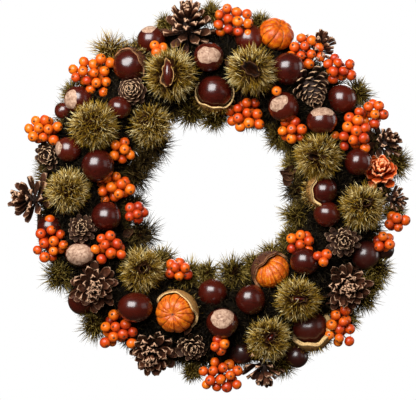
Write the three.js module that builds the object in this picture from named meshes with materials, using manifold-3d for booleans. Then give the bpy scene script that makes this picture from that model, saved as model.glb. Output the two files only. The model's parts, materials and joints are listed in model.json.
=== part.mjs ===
// Harvest door wreath: a straw ring under a moss blanket, set with conkers, spiny chestnut burrs,
// pine cones, mini pumpkins, husks and berry sprigs, with a fringe of needles inside and outside.
// It hangs on a wire loop that pivots in two screw eyes at the back of the ring's top.
// Millimetres, +Z up, front towards -Y. The origin is the point of the loop that rests on a hook.
import * as THREE from 'three';
import { mergeVertices } from 'three/addons/utils/BufferGeometryUtils.js';
import Module from 'manifold-3d';

// ---- driving dimensions ----
const GAP = 0.35; // clearance between pieces that touch

const RING_RADIUS = 130; // middle circle of the ring
const STRAW_HALF_WIDTH = 30;
const STRAW_DEPTH = 36;
const MOSS_THICKNESS = 8;
const MOSS_EDGE_DEPTH = 3; // the moss stops this far in front of the flat back
const RING_SIDES = 36;
const ARC_STEPS = 6;
const WIRE_SIDES = 6;

const HOOP_WIRE_RADIUS = 2;
const GROOVE_HALF_WIDTH = 3;
const GROOVE_DEPTH = 5;

const FRINGE_BACK = 8;
const FRINGE_FRONT = 20;
const FRINGE_INNER_TIP = 70;
const FRINGE_OUTER_TIP = 194;
const FRINGE_TOOTH_DEPTHS = [1, 0.55, 0.85, 0.4]; // share of the full tooth, taken in turn
const FRINGE_TEETH = 36;
const FRINGE_BAND = 3.5;

const LOOP_WIRE_RADIUS = 1.2;
const LOOP_HALF_WIDTH = 13;
const LOOP_HEIGHT = 16; // pivot to hook point
const LOOP_END = 24; // half the distance between the loop's turned-out ends
const PIVOT_RADIUS = 174; // height of the pivot above the ring's centre
const PIVOT_DEPTH = 6; // distance of the pivot in front of the flat back
const EYE_X = 18;
const EYE_RADIUS = 3.8;
const EYE_WIRE_RADIUS = 1.1;
const EYE_SHANK_END = 150;
const EYE_STEPS = 10;
const LOOP_CORNER = 3;
const LOOP_SHOULDER = 0.8; // share of the height at which the loop's top starts to bend
const LOOP_CROWN = 0.55; // share of the half width over which its top is nearly flat
const LOOP_STEPS = 36;
const SWEEP_RADIUS = 21; // room that the loop needs as it swings
const SWEEP_HALF_WIDTH = 27;
const SWEEP_FLOOR = 172.6;

const KEEP_OUT = 1.07; // a spiny or faceted piece fits inside a ball this much larger
const BURR_LIFT = 0.55; // height of a piece's centre above the bed, as a share of its size
const CONE_LIFT = 0.6;
const DYED_CONE_LIFT = 0.8;
const PUMPKIN_LIFT = 0.6;
const CONKER_LIFT = 0.65;

const BURR_CORE = 0.76; // share of the burr's size
const BARE_BACK = 0.2; // facets that point further back than this have no spike
const CONE_TIERS = 3;
const CONE_SIDES = 8;
const CONE_BACK = -0.75; // heights and widths of the tiers, as shares of the cone's size
const CONE_TIP = 0.9;
const TIER_START = -0.65;
const TIER_RISE = 0.5;
const TIER_FLARE = 0.25;
const TIER_WAIST = 0.7;
const TIER_BRIM = 0.9;
const TIER_TAPER = 0.42; // radians of narrowing from tier to tier
const PUMPKIN_RIBS = 8;
const RIB_DEPTH = 0.1;
const PUMPKIN_FLATNESS = 0.72;
const PUMPKIN_SHOULDER = 0.1;
const PUMPKIN_TILT = 0.3;
const CONKER_DETAIL = 2; // times that a conker's facets are split
const HUSK_WALL = 2.6;
const HUSK_COVER = 0.15; // how far past the conker's middle the husk reaches

const BERRY_RADIUS = 5.4;
const STALK_RADIUS = 0.9;
const PEG_RADIUS = 1.8; // where the stalks meet
const PEG_BELOW = 4;
const PEG_ABOVE = 3;
const BERRY_RISE = 9; // height of the outermost berries above the stalks' meeting point
const BUNCH_DOME = 6; // how much higher the middle berries stand
const SPRIG_ROOT_LIMIT = 165; // sprigs are pushed into the moss no further out than this

// ---- layout: clock bearing in degrees, distance from the ring's centre, size (radius) ----
const BURRS = [
  [301, 136, 25], [320, 94, 24], [342, 127, 27], [272, 143, 23], [18, 131, 25],
  [70, 114, 24], [94, 151, 24], [223, 102, 24], [140, 134, 23], [158, 154, 23],
];
const CONES = [ // last value: how far the tip leans away from the ring's centre, in degrees
  [353, 172, 24, 0], [323, 132, 14, 0], [269, 184, 23, 30], [256, 133, 15, 0], [232, 148, 23, 0],
  [199, 168, 24, 0], [109, 139, 17, 0], [124, 162, 25, 0], [44, 147, 18, -70], [73, 185, 17, 30],
];
const DYED_CONE = [82, 176, 17, 30];
const PUMPKINS = [[22, 176, 17.5], [197, 122, 19], [141, 98, 17]];
const CONKERS = [
  [328, 154, 16], [306, 165, 15], [285, 117, 17], [359, 137, 15.5], [2, 104, 17.5],
  [31, 148, 15.5], [40, 116, 15.5], [54, 165, 14.5], [56, 133, 14], [87, 113, 14],
  [246, 143, 13.5], [214, 135, 16], [175, 127, 16], [159, 111, 15.5], [143, 168, 16],
];
const HUSKS = [ // a conker that sits in a split husk, and the way that its mouth faces
  { conker: 10, mouth: [0.75, -0.8, 0.1] },
  { conker: 15, mouth: [-0.5, -1, 0.6] },
];
const SPRIGS = [ // bearing, distance, half width, half height, number of berries
  [316, 171, 24, 23, 12], [292, 179, 20, 17, 9], [7, 178, 25, 17, 11], [34, 173, 21, 17, 10],
  [66, 158, 21, 19, 11], [23, 88, 21, 17, 9], [275, 98, 19, 16, 9], [254, 167, 17, 24, 10],
  [214, 163, 23, 22, 11], [177, 180, 24, 17, 10], [136, 184, 16, 25, 10],
];

// ---- colours ----
const STRAW = { color: 0xb89a5a, roughness: 0.95, metalness: 0 };
const MOSS = { color: 0x3a3a16, roughness: 1, metalness: 0 };
const NEEDLES = { color: 0x4d5220, roughness: 0.9, metalness: 0 };
const WIRE = { color: 0x6b6d6a, roughness: 0.45, metalness: 0.9 };
const BURR = { color: 0x968636, roughness: 0.9, metalness: 0 };
const CONE = { color: 0x553527, roughness: 0.85, metalness: 0 };
const DYED = { color: 0xd8591b, roughness: 0.8, metalness: 0 };
const PUMPKIN = { color: 0xee7014, roughness: 0.55, metalness: 0 };
const CONKER = { color: 0x46130b, roughness: 0.25, metalness: 0 };
const HUSK = { color: 0xb08a52, roughness: 0.85, metalness: 0 };
const BERRY = { color: 0xea5a12, roughness: 0.3, metalness: 0 };

// ---- solids ----
const MERGE_DISTANCE = 1e-4;

const wasm = await Module();
wasm.setup();

function toSolid(geometry) {
  const bare = geometry.clone();
  bare.deleteAttribute('normal');
  bare.deleteAttribute('uv');
  const merged = mergeVertices(bare, MERGE_DISTANCE);
  const corners = [];
  for (let i = 0; i < merged.index.count; i += 3) {
    const [a, b, c] = [0, 1, 2].map((k) => merged.index.getX(i + k));
    if (a !== b && b !== c && c !== a) corners.push(a, b, c);
  }
  return new wasm.Manifold(new wasm.Mesh({
    numProp: 3,
    vertProperties: Float32Array.from(merged.attributes.position.array),
    triVerts: Uint32Array.from(corners),
  }));
}

function toGeometry(solid) {
  const { vertProperties, triVerts } = solid.getMesh();
  const geometry = new THREE.BufferGeometry();
  geometry.setAttribute('position', new THREE.BufferAttribute(vertProperties, 3));
  geometry.setIndex(new THREE.BufferAttribute(triVerts, 1));
  geometry.computeVertexNormals();
  return geometry;
}

function join(solids) {
  return solids.reduce((whole, solid) => whole.add(solid));
}

function largestBody(solid) {
  return solid.decompose().reduce((best, body) => (body.volume() > best.volume() ? body : best));
}

function touches(a, b) {
  const [boxA, boxB] = [a.boundingBox(), b.boundingBox()];
  return [0, 1, 2].every((k) => boxA.min[k] < boxB.max[k] && boxB.min[k] < boxA.max[k]);
}

// ---- wreath: centred on the ring's centre, with its flat back in the plane Y = 0 ----
const wreath = new THREE.Group();
wreath.position.set(0, PIVOT_DEPTH, -(PIVOT_RADIUS + LOOP_HEIGHT));

function addPart(name, solid, look) {
  const mesh = new THREE.Mesh(toGeometry(solid), new THREE.MeshStandardMaterial(look));
  mesh.name = name;
  wreath.add(mesh);
}

// A profile of [radius, depth] points, turned about the wreath's axis.
function turned(points, sides = RING_SIDES) {
  const closed = [...points, points[0]].map(([radius, depth]) => new THREE.Vector2(radius, depth));
  return toSolid(new THREE.LatheGeometry(closed, sides).rotateX(Math.PI));
}

// The front of a ring section, as an arc from its outer edge to its inner one.
function frontArc(halfWidth, depth, lowest) {
  const start = Math.asin(lowest / depth);
  return Array.from({ length: ARC_STEPS + 1 }, (_, i) => {
    const angle = start + (i / ARC_STEPS) * (Math.PI - 2 * start);
    return [RING_RADIUS + halfWidth * Math.cos(angle), depth * Math.sin(angle)];
  });
}

function place(bearing, radius, depth) {
  const angle = THREE.MathUtils.degToRad(bearing);
  return new THREE.Vector3(radius * Math.sin(angle), -depth, radius * Math.cos(angle));
}

function ball(centre, radii, detail = 1) {
  const geometry = new THREE.IcosahedronGeometry(1, detail);
  return toSolid(geometry.scale(...radii).translate(...centre));
}

function rod(from, to, radius, sides) {
  const along = new THREE.Vector3().subVectors(to, from);
  const turn = new THREE.Quaternion().setFromUnitVectors(
    new THREE.Vector3(0, 1, 0), along.clone().normalize());
  const geometry = new THREE.CylinderGeometry(radius, radius, along.length(), sides);
  geometry.applyQuaternion(turn);
  const middle = new THREE.Vector3().addVectors(from, to).multiplyScalar(0.5);
  return toSolid(geometry.translate(...middle));
}

// ---- what the decorations rest on ----
const MOSS_HALF_WIDTH = STRAW_HALF_WIDTH + MOSS_THICKNESS;
const MOSS_DEPTH = STRAW_DEPTH + MOSS_THICKNESS;

function bedDepth(radius) {
  const across = (radius - RING_RADIUS) / MOSS_HALF_WIDTH;
  const moss = Math.abs(across) < 1 ? MOSS_DEPTH * Math.sqrt(1 - across * across) : 0;
  return Math.max(moss, FRINGE_FRONT);
}

function bedSolid() {
  const front = FRINGE_FRONT + GAP;
  const outer = FRINGE_OUTER_TIP + RING_RADIUS;
  const flat = turned([[outer, -1], [outer, front], [GAP, front], [GAP, -1]]);
  return flat.add(turned(frontArc(MOSS_HALF_WIDTH + GAP, MOSS_DEPTH + GAP, MOSS_EDGE_DEPTH)));
}

// The room above the ring's top that the loop swings through.
function loopSweep() {
  const shape = new THREE.Shape();
  const half = Math.acos((SWEEP_FLOOR - PIVOT_RADIUS) / SWEEP_RADIUS);
  shape.absarc(0, 0, SWEEP_RADIUS, Math.PI / 2 - half, Math.PI / 2 + half, false);
  const geometry = new THREE.ExtrudeGeometry(shape, {
    depth: 2 * SWEEP_HALF_WIDTH, bevelEnabled: false, curveSegments: 6,
  });
  geometry.translate(0, 0, -SWEEP_HALF_WIDTH);
  geometry.rotateX(Math.PI / 2).rotateZ(Math.PI / 2);
  return toSolid(geometry.translate(0, -PIVOT_DEPTH, PIVOT_RADIUS));
}

// ---- ring ----
function strawRing() {
  const arc = frontArc(STRAW_HALF_WIDTH, STRAW_DEPTH, 0);
  const inner = RING_RADIUS - GROOVE_HALF_WIDTH;
  const outer = RING_RADIUS + GROOVE_HALF_WIDTH;
  return turned([...arc, [inner, 0], [inner, GROOVE_DEPTH], [outer, GROOVE_DEPTH], [outer, 0]]);
}

function mossBlanket() {
  const straw = turned(frontArc(STRAW_HALF_WIDTH + GAP, STRAW_DEPTH + GAP, 0));
  return turned(frontArc(MOSS_HALF_WIDTH, MOSS_DEPTH, MOSS_EDGE_DEPTH)).subtract(straw);
}

function wireHoop() {
  const section = Array.from({ length: WIRE_SIDES }, (_, i) => {
    const angle = (i / WIRE_SIDES) * 2 * Math.PI;
    const depth = HOOP_WIRE_RADIUS + 2 * GAP + HOOP_WIRE_RADIUS * Math.sin(angle);
    return [RING_RADIUS + HOOP_WIRE_RADIUS * Math.cos(angle), depth];
  });
  return turned(section);
}

// A flat band with a row of pointed needle tufts along one edge.
function fringe(bandEdge, toothRoot, toothTip) {
  const outline = (radiusAt, count) => Array.from({ length: count }, (_, i) => {
    const angle = (i / count) * 2 * Math.PI;
    const radius = radiusAt(i);
    return new THREE.Vector2(radius * Math.cos(angle), radius * Math.sin(angle));
  });
  const toothed = outline((i) => {
    const share = FRINGE_TOOTH_DEPTHS[((i - 1) / 2) % FRINGE_TOOTH_DEPTHS.length];
    return i % 2 ? toothRoot + (toothTip - toothRoot) * share : toothRoot;
  }, 2 * FRINGE_TEETH);
  const plain = outline(() => bandEdge, RING_SIDES);
  const [rim, hole] = toothTip > bandEdge ? [toothed, plain] : [plain, toothed];
  const shape = new THREE.Shape(rim);
  shape.holes.push(new THREE.Path(hole));
  const geometry = new THREE.ExtrudeGeometry(shape, {
    depth: FRINGE_FRONT - FRINGE_BACK, bevelEnabled: false,
  });
  return toSolid(geometry.rotateX(Math.PI / 2).translate(0, -FRINGE_BACK, 0));
}

// ---- hanging gear ----
function pivotPoint(x) {
  return new THREE.Vector3(x, -PIVOT_DEPTH, PIVOT_RADIUS);
}

function screwEye(x, grow) {
  const ring = new THREE.TorusGeometry(EYE_RADIUS, EYE_WIRE_RADIUS + grow, WIRE_SIDES, EYE_STEPS);
  ring.rotateY(Math.PI / 2).translate(...pivotPoint(x));
  const top = pivotPoint(x).setZ(PIVOT_RADIUS - EYE_RADIUS);
  const tip = pivotPoint(x).setZ(EYE_SHANK_END - grow);
  return toSolid(ring).add(rod(tip, top, EYE_WIRE_RADIUS + grow, WIRE_SIDES));
}

// A bail: out through one eye, up, round the top and down to the other eye.
function hangingLoop() {
  const top = LOOP_HEIGHT + LOOP_WIRE_RADIUS;
  const at = (x, height) => pivotPoint(x).add(new THREE.Vector3(0, 0, height));
  const half = LOOP_HALF_WIDTH;
  const bend = half + LOOP_CORNER;
  const crown = half * LOOP_CROWN;
  const shoulder = top * LOOP_SHOULDER;
  const path = new THREE.CurvePath();
  path.add(new THREE.LineCurve3(at(-LOOP_END, 0), at(-bend, 0)));
  path.add(new THREE.QuadraticBezierCurve3(at(-bend, 0), at(-half, 0), at(-half, LOOP_CORNER)));
  path.add(new THREE.CubicBezierCurve3(
    at(-half, LOOP_CORNER), at(-half, shoulder), at(-crown, top), at(0, top)));
  path.add(new THREE.CubicBezierCurve3(
    at(0, top), at(crown, top), at(half, shoulder), at(half, LOOP_CORNER)));
  path.add(new THREE.QuadraticBezierCurve3(at(half, LOOP_CORNER), at(half, 0), at(bend, 0)));
  path.add(new THREE.LineCurve3(at(bend, 0), at(LOOP_END, 0)));
  const section = new THREE.Shape();
  section.absarc(0, 0, LOOP_WIRE_RADIUS, 0, 2 * Math.PI, false);
  return toSolid(new THREE.ExtrudeGeometry(section, {
    steps: LOOP_STEPS, curveSegments: WIRE_SIDES / 2, bevelEnabled: false, extrudePath: path,
  }));
}

// ---- decorations ----
// A ball with a spike on each facet, except at the back where it sits on the moss.
function burr(centre, size) {
  const source = new THREE.IcosahedronGeometry(1, 1);
  const corners = source.attributes.position;
  const skin = [];
  for (let i = 0; i < corners.count; i += 3) {
    const [a, b, c] = [0, 1, 2].map((k) => new THREE.Vector3().fromBufferAttribute(corners, i + k));
    const outward = new THREE.Vector3().add(a).add(b).add(c).normalize();
    const tip = outward.clone().multiplyScalar(size);
    const [p, q, r] = [a, b, c].map((corner) => corner.multiplyScalar(size * BURR_CORE));
    const facet = outward.y > BARE_BACK ? [p, q, r] : [p, q, tip, q, r, tip, r, p, tip];
    facet.forEach((corner) => skin.push(...corner));
  }
  const geometry = new THREE.BufferGeometry();
  geometry.setAttribute('position', new THREE.Float32BufferAttribute(skin, 3));
  return toSolid(geometry.translate(...centre));
}

// A stepped cone of scales, whose tip points out of the wreath.
function cone(centre, size, bearing, lean) {
  const profile = [[0, CONE_BACK]];
  for (let tier = 0; tier < CONE_TIERS; tier += 1) {
    const width = Math.cos(tier * TIER_TAPER);
    const start = TIER_START + tier * TIER_RISE;
    profile.push([TIER_WAIST * width, start]);
    profile.push([TIER_BRIM * width, start + TIER_FLARE]);
  }
  profile.push([0, CONE_TIP]);
  const points = profile.map(([x, y]) => new THREE.Vector2(x * size, y * size));
  const geometry = new THREE.LatheGeometry(points, CONE_SIDES);
  geometry.rotateX(Math.PI - THREE.MathUtils.degToRad(lean));
  geometry.rotateY(THREE.MathUtils.degToRad(bearing));
  return toSolid(geometry.translate(...centre));
}

// A flattened ball, waisted between its ribs.
function pumpkin(centre, size) {
  const geometry = new THREE.SphereGeometry(size, 2 * PUMPKIN_RIBS, PUMPKIN_RIBS);
  const spots = geometry.attributes.position;
  for (let i = 0; i < spots.count; i += 1) {
    const spot = new THREE.Vector3().fromBufferAttribute(spots, i);
    const crest = (1 + Math.cos(PUMPKIN_RIBS * Math.atan2(spot.z, spot.x))) / 2;
    const outward = Math.hypot(spot.x, spot.z) / size;
    const swell = 1 - RIB_DEPTH * (1 - crest) * outward;
    const squash = PUMPKIN_FLATNESS + PUMPKIN_SHOULDER * outward;
    spots.setXYZ(i, spot.x * swell, spot.y * squash, spot.z * swell);
  }
  geometry.rotateX(Math.PI / 2 - PUMPKIN_TILT);
  return toSolid(geometry.translate(...centre));
}

// A thick rind round the conker, cut away on the side that its mouth faces.
function husk(centre, size, mouth) {
  const outer = size + HUSK_WALL;
  const inner = size + GAP;
  const shell = ball(centre, [outer, outer, outer]);
  const hollow = ball(centre, [inner, inner, inner], CONKER_DETAIL);
  const cut = new THREE.BoxGeometry(4 * size, 2 * size, 4 * size);
  cut.translate(0, -size - HUSK_COVER * size, 0);
  const ahead = new THREE.Vector3(...mouth).normalize();
  cut.applyQuaternion(new THREE.Quaternion().setFromUnitVectors(
    new THREE.Vector3(0, -1, 0), ahead));
  return shell.subtract(hollow).subtract(toSolid(cut.translate(...centre)));
}

// A domed bunch of berries, each on a stalk from where the sprig is pushed into the moss.
function sprig(bearing, radius, halfWidth, halfHeight, berries) {
  const rooted = Math.min(radius, SPRIG_ROOT_LIMIT);
  const root = place(bearing, rooted, bedDepth(rooted) + PEG_ABOVE);
  const peg = place(bearing, rooted, bedDepth(rooted) - PEG_BELOW);
  const middle = place(bearing, radius, bedDepth(radius) + PEG_ABOVE + BERRY_RISE);
  const pieces = [rod(peg, root, PEG_RADIUS, 5)];
  const goldenAngle = Math.PI * (3 - Math.sqrt(5));
  for (let i = 0; i < berries; i += 1) {
    const share = Math.sqrt((i + 0.5) / berries);
    const angle = i * goldenAngle + bearing;
    const berry = middle.clone().add(new THREE.Vector3(
      (halfWidth - BERRY_RADIUS) * share * Math.cos(angle),
      -BUNCH_DOME * (1 - share),
      (halfHeight - BERRY_RADIUS) * share * Math.sin(angle)));
    pieces.push(ball(berry, [BERRY_RADIUS, BERRY_RADIUS, BERRY_RADIUS], 0));
    pieces.push(rod(root, berry, STALK_RADIUS, 3));
  }
  return join(pieces);
}

// ---- assembly ----
const eyes = [-EYE_X, EYE_X];
const eyeHoles = eyes.map((x) => screwEye(x, GAP));
const boredFor = (solid) => eyeHoles.reduce((rest, hole) => rest.subtract(hole), solid);

addPart('base_ring', boredFor(strawRing()), STRAW);
addPart('moss_blanket', boredFor(mossBlanket()), MOSS);
addPart('wire_hoop', wireHoop(), WIRE);
addPart('hanging_eye_left', screwEye(-EYE_X, 0), WIRE);
addPart('hanging_eye_right', screwEye(EYE_X, 0), WIRE);
addPart('hanging_loop', hangingLoop(), WIRE);

const sweep = loopSweep();
const innerRoot = RING_RADIUS - MOSS_HALF_WIDTH - 1;
const outerRoot = RING_RADIUS + MOSS_HALF_WIDTH + 1;
const outerFringe = fringe(outerRoot, outerRoot + FRINGE_BAND, FRINGE_OUTER_TIP);
addPart('inner_greenery', fringe(innerRoot, innerRoot - FRINGE_BAND, FRINGE_INNER_TIP), NEEDLES);
addPart('outer_greenery', largestBody(boredFor(outerFringe).subtract(sweep)), NEEDLES);

// Each decoration is cut back where it meets the bed or a piece that is already there.
const taken = [bedSolid(), sweep];

function settle(name, solid, look, keepOut) {
  const near = taken.filter((other) => touches(solid, other));
  addPart(name, largestBody(near.reduce((rest, other) => rest.subtract(other), solid)), look);
  taken.push(keepOut);
}

function seat(bearing, radius, size, lift) {
  return place(bearing, radius, bedDepth(radius) + lift * size);
}

function roomFor(centre, size) {
  return ball(centre, [size * KEEP_OUT, size * KEEP_OUT, size * KEEP_OUT]);
}

BURRS.forEach(([bearing, radius, size], i) => {
  const centre = seat(bearing, radius, size, BURR_LIFT);
  settle(`burr_${i + 1}`, burr(centre, size), BURR, roomFor(centre, size));
});

CONES.forEach(([bearing, radius, size, lean], i) => {
  const centre = seat(bearing, radius, size, CONE_LIFT);
  settle(`pine_cone_${i + 1}`, cone(centre, size, bearing, lean), CONE, roomFor(centre, size));
});

const [dyedBearing, dyedRadius, dyedSize, dyedLean] = DYED_CONE;
const dyedCentre = seat(dyedBearing, dyedRadius, dyedSize, DYED_CONE_LIFT);
settle('dyed_cone', cone(dyedCentre, dyedSize, dyedBearing, dyedLean), DYED,
  roomFor(dyedCentre, dyedSize));

PUMPKINS.forEach(([bearing, radius, size], i) => {
  const centre = seat(bearing, radius, size, PUMPKIN_LIFT);
  settle(`mini_pumpkin_${i + 1}`, pumpkin(centre, size), PUMPKIN, roomFor(centre, size));
});

CONKERS.forEach(([bearing, radius, size], i) => {
  const centre = seat(bearing, radius, size, CONKER_LIFT);
  const room = ball(centre, [size + GAP, size + GAP, size + GAP], CONKER_DETAIL);
  settle(`conker_${i + 1}`, ball(centre, [size, size, size], CONKER_DETAIL), CONKER, room);
});

HUSKS.forEach(({ conker, mouth }, i) => {
  const [bearing, radius, size] = CONKERS[conker - 1];
  const centre = seat(bearing, radius, size, CONKER_LIFT);
  const solid = husk(centre, size, mouth);
  settle(`husk_${i + 1}`, solid, HUSK, roomFor(centre, size + HUSK_WALL));
});

SPRIGS.forEach(([bearing, radius, halfWidth, halfHeight, berries], i) => {
  const solid = sprig(bearing, radius, halfWidth, halfHeight, berries);
  settle(`berry_sprig_${i + 1}`, solid, BERRY, solid);
});

export default wreath;
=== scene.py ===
"""Harvest door wreath: detailed looks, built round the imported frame.

Every piece takes its place from the frame's boxes, or from a clock bearing in degrees and a
distance from the ring's centre. Lengths in the layout lists are millimetres; meshes are in metres.
"""

import functools
import json
import math

import bmesh
import bpy
import numpy as np
from mathutils import Matrix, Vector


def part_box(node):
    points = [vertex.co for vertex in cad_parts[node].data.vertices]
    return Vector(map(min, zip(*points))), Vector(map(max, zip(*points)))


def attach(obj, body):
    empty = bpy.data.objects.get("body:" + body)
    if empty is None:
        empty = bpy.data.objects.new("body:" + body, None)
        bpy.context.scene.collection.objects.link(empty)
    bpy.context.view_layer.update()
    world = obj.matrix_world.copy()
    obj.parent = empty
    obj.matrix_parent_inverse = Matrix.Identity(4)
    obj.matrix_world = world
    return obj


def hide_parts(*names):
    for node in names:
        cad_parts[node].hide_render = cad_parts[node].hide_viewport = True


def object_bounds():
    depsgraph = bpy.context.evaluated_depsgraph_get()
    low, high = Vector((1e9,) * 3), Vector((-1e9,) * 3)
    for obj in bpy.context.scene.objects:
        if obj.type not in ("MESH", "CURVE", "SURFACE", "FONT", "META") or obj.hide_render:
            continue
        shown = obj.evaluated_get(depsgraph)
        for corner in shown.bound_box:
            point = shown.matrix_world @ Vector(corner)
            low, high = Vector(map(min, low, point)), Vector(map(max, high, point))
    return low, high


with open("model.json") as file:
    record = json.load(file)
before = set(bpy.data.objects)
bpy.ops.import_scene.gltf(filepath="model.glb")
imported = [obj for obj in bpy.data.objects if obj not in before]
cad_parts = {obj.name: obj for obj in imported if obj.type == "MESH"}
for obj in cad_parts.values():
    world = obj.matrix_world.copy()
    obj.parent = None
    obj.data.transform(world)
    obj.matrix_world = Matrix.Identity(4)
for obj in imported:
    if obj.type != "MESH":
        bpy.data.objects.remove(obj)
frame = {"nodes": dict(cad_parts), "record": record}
cad_low, cad_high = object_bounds()

MM = 0.001
GOLDEN = math.pi * (3 - math.sqrt(5))
FRONT = np.array([0.0, -1.0, 0.0])
WREATH = "wreath"
LOOP = "loop"


# ---- the frame: ring centre, radii and depths ----
def corners(node):
    low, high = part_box(node)
    return np.array(low), np.array(high)


def inner_radius(node):
    verts = np.array([v.co for v in frame["nodes"][node].data.vertices])
    return np.hypot(verts[:, 0] - CENTRE[0], verts[:, 2] - CENTRE[2]).min()


straw_low, straw_high = corners("base_ring")
moss_low, moss_high = corners("moss_blanket")
fringe_low, fringe_high = corners("outer_greenery")
CENTRE = (straw_low + straw_high) / 2
BACK = straw_high[1]
STRAW_OUTER = (straw_high[0] - straw_low[0]) / 2
STRAW_INNER = inner_radius("base_ring")
STRAW_DEPTH = BACK - straw_low[1]
RING_RADIUS = (STRAW_OUTER + STRAW_INNER) / 2
MOSS_OUTER = (moss_high[0] - moss_low[0]) / 2
MOSS_HALF = MOSS_OUTER - RING_RADIUS
MOSS_DEPTH = BACK - moss_low[1]
FRINGE_FRONT = BACK - fringe_low[1]
FRINGE_OUTER = (fringe_high[0] - fringe_low[0]) / 2
FRINGE_INNER = inner_radius("inner_greenery")
BACK_GAP = 0.5 * MM  # between the needles and the door

PIVOT = np.array(frame["record"]["behaviour"]["joints"][0]["pos_m"])
loop_high = corners("hanging_loop")[1]
LOOP_GAP = 2 * MM
LOOP_HALF = loop_high[0] + LOOP_GAP
LOOP_REACH = loop_high[2] - PIVOT[2] + LOOP_GAP
LOOP_BOTTOM = -3 * MM  # below the pivot


def has_room(verts):
    """False behind the back plane and where the loop passes as the wreath swings."""
    ahead = PIVOT[1] - verts[:, 1]
    up = verts[:, 2] - PIVOT[2]
    near_loop = (np.hypot(ahead, up) < LOOP_REACH) & (np.abs(verts[:, 0]) < LOOP_HALF)
    return (verts[:, 1] < BACK - BACK_GAP) & ~(near_loop & (up > LOOP_BOTTOM))


def bed_depth(radius):
    """How far the moss, or the fringe beside it, stands in front of the back."""
    across = (radius - RING_RADIUS) / MOSS_HALF
    moss = MOSS_DEPTH * math.sqrt(1 - across * across) if abs(across) < 1 else 0
    return max(moss, FRINGE_FRONT)


def spot(bearing, radius, depth):
    """A point by clock bearing (degrees), distance from the ring's centre and depth (metres)."""
    angle = math.radians(bearing)
    x = CENTRE[0] + radius * math.sin(angle)
    z = CENTRE[2] + radius * math.cos(angle)
    return np.array([x, BACK - depth, z])


def seat(bearing, radius_mm, size_mm, lift):
    """A point above the bed, by that share of the size."""
    radius = radius_mm * MM
    return spot(bearing, radius, bed_depth(radius) + lift * size_mm * MM)


def held(node):
    """Centre and radius of a round CAD node, measured from its front."""
    low, high = corners(node)
    size = max(high[0] - low[0], high[2] - low[2]) / 2
    middle = (low + high) / 2
    return np.array([middle[0], low[1] + size, middle[2]]), size


# ---- mesh building ----
class Shape:
    """Vertices, faces of 3 or 4 corners, and two point values that the materials read."""

    def __init__(self, verts, faces, along=0.0, tone=0.5, mat=0):
        self.verts = np.asarray(verts, float).reshape(-1, 3)
        self.faces = [np.asarray(f, int) for f in faces if len(f)]
        self.along = np.broadcast_to(along, len(self.verts)).astype(float)
        self.tone = np.broadcast_to(tone, len(self.verts)).astype(float)
        self.mat = mat


def mm(x, y, z):
    return np.array([x, y, z]) * MM


def points(x, y, z):
    """An array of points from their coordinates."""
    return np.stack(np.broadcast_arrays(x, y, z), axis=-1).reshape(-1, 3)


def circle(count):
    """Angles spaced evenly once round."""
    return np.arange(count) * 2 * math.pi / count


def polar_points(polar, around, radius=1.0, height=None):
    """Points by their angle from +Z and their angle round it."""
    out = radius * np.sin(polar)
    return points(out * np.cos(around), out * np.sin(around),
                  np.cos(polar) if height is None else height)


def unit(vectors):
    vectors = np.asarray(vectors, float)
    return vectors / np.maximum(np.linalg.norm(vectors, axis=-1, keepdims=True), 1e-12)


def facing(direction, roll=0.0):
    """Rotation that takes local Z to a direction."""
    z = unit(direction)
    helper = np.array([0, 0, 1.0]) if abs(z[2]) < 0.9 else np.array([1.0, 0, 0])
    x = unit(np.cross(helper, z))
    y = np.cross(z, x)
    turned_x = math.cos(roll) * x + math.sin(roll) * y
    return np.column_stack([turned_x, np.cross(z, turned_x), z])


LUMP_WAVES = 7


def lumps(verts, size, rng):
    """Smooth irregular values from about -1 to 1, with features of that size."""
    total = np.zeros(len(verts))
    for _ in range(LUMP_WAVES):
        direction = unit(rng.normal(size=3))
        pitch = 2 * math.pi / (size * rng.uniform(0.7, 1.7))
        total += np.sin(verts @ direction * pitch + rng.uniform(0, 2 * math.pi))
    return total / LUMP_WAVES * 1.8


@functools.lru_cache(maxsize=None)
def icosphere(level):
    bm = bmesh.new()
    bmesh.ops.create_icosphere(bm, subdivisions=level, radius=1)
    verts = np.array([v.co for v in bm.verts])
    faces = np.array([[v.index for v in f.verts] for f in bm.faces])
    bm.free()
    return verts, faces


def grid_faces(rows, columns, wrap=True):
    """Quads of a grid whose rows follow each other; wrap joins the last column to the first."""
    last = columns if wrap else columns - 1
    r, c = np.meshgrid(np.arange(rows - 1), np.arange(last), indexing="ij")
    a = (r * columns + c).ravel()
    b = (r * columns + (c + 1) % columns).ravel()
    return np.column_stack([a, b, b + columns, a + columns])


def fan(ring, tip, flip=False):
    """Triangles from a closed ring of vertices to one vertex."""
    first, second = (ring, np.roll(ring, -1))[::-1 if flip else 1]
    return np.column_stack([first, second, np.full(len(ring), tip)])


def wall(edge, gap):
    """Quads from a closed edge to the same edge, gap vertices on."""
    follow = np.roll(edge, -1)
    return np.column_stack([edge, edge + gap, follow + gap, follow])


def border(rows, columns):
    """The outline of a grid, once round."""
    return np.concatenate([
        np.arange(columns), np.arange(2, rows + 1) * columns - 1,
        rows * columns - 1 - np.arange(1, columns), np.arange(rows - 2, 0, -1) * columns])


ASKEW = [0.31, 0.87, 0.39]  # a direction that no tube starts in


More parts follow.
